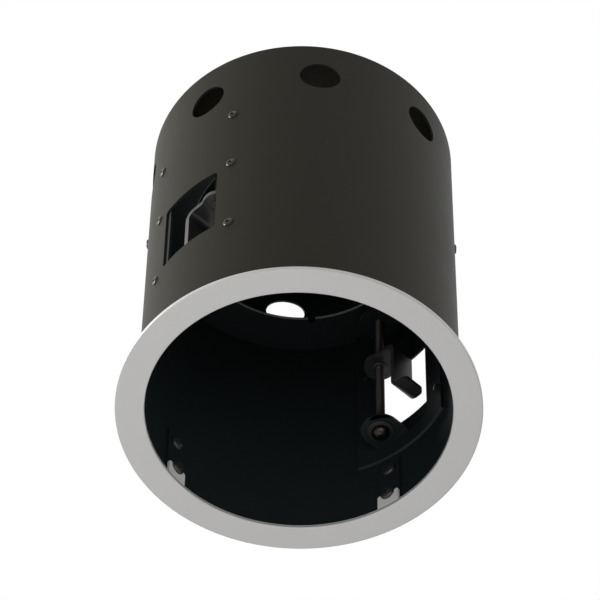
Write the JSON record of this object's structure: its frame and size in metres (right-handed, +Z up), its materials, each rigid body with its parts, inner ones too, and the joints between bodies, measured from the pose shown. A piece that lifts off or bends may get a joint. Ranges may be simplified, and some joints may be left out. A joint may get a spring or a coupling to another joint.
{
  "type": "recessed light housing",
  "caption": "Round recessed ceiling light housing: dark tube with cable holes, silver trim ring and swing-out clamp claws driven by long screws.",
  "frame": {"origin": "centre of the trim ring's visible lower face", "axes": "+Z up along the housing's centre line, towards the closed top; -Y towards the picture's camera"},
  "size_m": [0.185, 0.185, 0.207],
  "materials": {
    "black_paint": "matt dark powder coat",
    "silver_paint": "satin silver-grey coat",
    "black_steel": "blackened steel",
    "zinc_steel": "dark zinc plate"
  },
  "bodies": {
    "housing": {"housing_tube": "black_paint", "top_cover": "black_paint", "trim_ring": "silver_paint", "partition_ring": "black_paint", "partition_rivets": "black_steel", "trim_screws": "zinc_steel", "plate_screws": "zinc_steel", "fixing_plate_1": "black_paint", "fixing_plate_2": "black_paint", "fixing_plate_3": "black_paint", "fixing_plate_4": "black_paint", "clamp_bracket_a": "black_steel", "bracket_rivets_a": "black_steel", "screw_washer_a": "zinc_steel", "clamp_bracket_b": "black_steel", "bracket_rivets_b": "black_steel", "screw_washer_b": "zinc_steel"},
    "screw_a": {"clamp_screw_a": "zinc_steel", "lock_nut_a": "zinc_steel"},
    "nut_a": {"claw_nut_a": "zinc_steel"},
    "claw_a": {"clamp_claw_a": "black_steel"},
    "screw_b": {"clamp_screw_b": "zinc_steel", "lock_nut_b": "zinc_steel"},
    "nut_b": {"claw_nut_b": "zinc_steel"},
    "claw_b": {"clamp_claw_b": "black_steel"}
  },
  "joints": [
    {"name": "screw_turn_a", "type": "hinge", "parent": "housing", "child": "screw_a", "pos_m": [-0.04301, -0.05335, 0.09], "axis": [0, 0, 1], "range_deg": [0, 15300]},
    {"name": "claw_travel_a", "type": "slide", "parent": "housing", "child": "nut_a", "axis": [0, 0, -1], "range_m": [0, 0.034]},
    {"name": "claw_swing_a", "type": "hinge", "parent": "nut_a", "child": "claw_a", "pos_m": [-0.04301, -0.05335, 0.102], "axis": [0, 0, 1], "range_deg": [0, 90]},
    {"name": "screw_turn_b", "type": "hinge", "parent": "housing", "child": "screw_b", "pos_m": [0.04301, 0.05335, 0.09], "axis": [0, 0, 1], "range_deg": [0, 15300]},
    {"name": "claw_travel_b", "type": "slide", "parent": "housing", "child": "nut_b", "axis": [0, 0, -1], "range_m": [0, 0.034]},
    {"name": "claw_swing_b", "type": "hinge", "parent": "nut_b", "child": "claw_b", "pos_m": [0.04301, 0.05335, 0.102], "axis": [0, 0, 1], "range_deg": [0, 90]}
  ],
  "couplings": [
    {"joint": "screw_turn_a", "follows": "claw_travel_a", "rad_per_m": 7854},
    {"joint": "screw_turn_b", "follows": "claw_travel_b", "rad_per_m": 7854}
  ]
}
